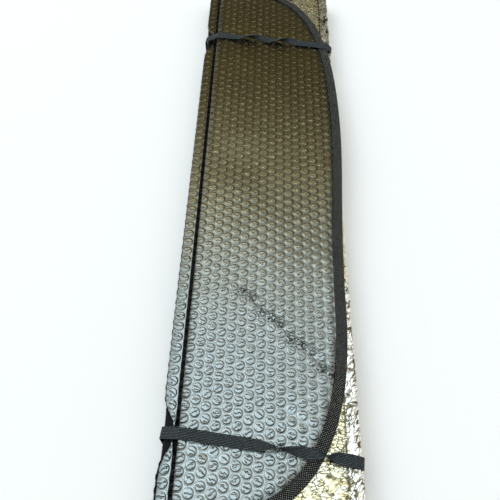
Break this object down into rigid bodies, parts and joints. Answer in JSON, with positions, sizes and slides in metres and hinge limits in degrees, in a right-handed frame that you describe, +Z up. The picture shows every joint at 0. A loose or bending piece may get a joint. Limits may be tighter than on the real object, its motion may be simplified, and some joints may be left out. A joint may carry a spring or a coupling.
{
  "type": "windscreen sunshade",
  "caption": "Folded bubble-foil sunshade for a car windscreen, bound with black woven tape and held shut by elastic bands",
  "frame": {"origin": "centre of the bounding box at its underside", "axes": "+Y along the folds from the near end to the far end, +Z up through the stack of panels, +X across the folds to the free edges"},
  "size_m": [0.1746, 0.7, 0.0415],
  "materials": {
    "bubble_foil": "metallised bubble film, dark pearlescent on the bubble face and silver on the other",
    "woven_tape": "black woven binding tape",
    "elastic": "black flat ribbed elastic"
  },
  "bodies": {
    "root": {"foil_sheet": "bubble_foil", "edge_binding": "woven_tape", "elastic_near": "elastic", "elastic_far": "elastic"}
  },
  "joints": []
}
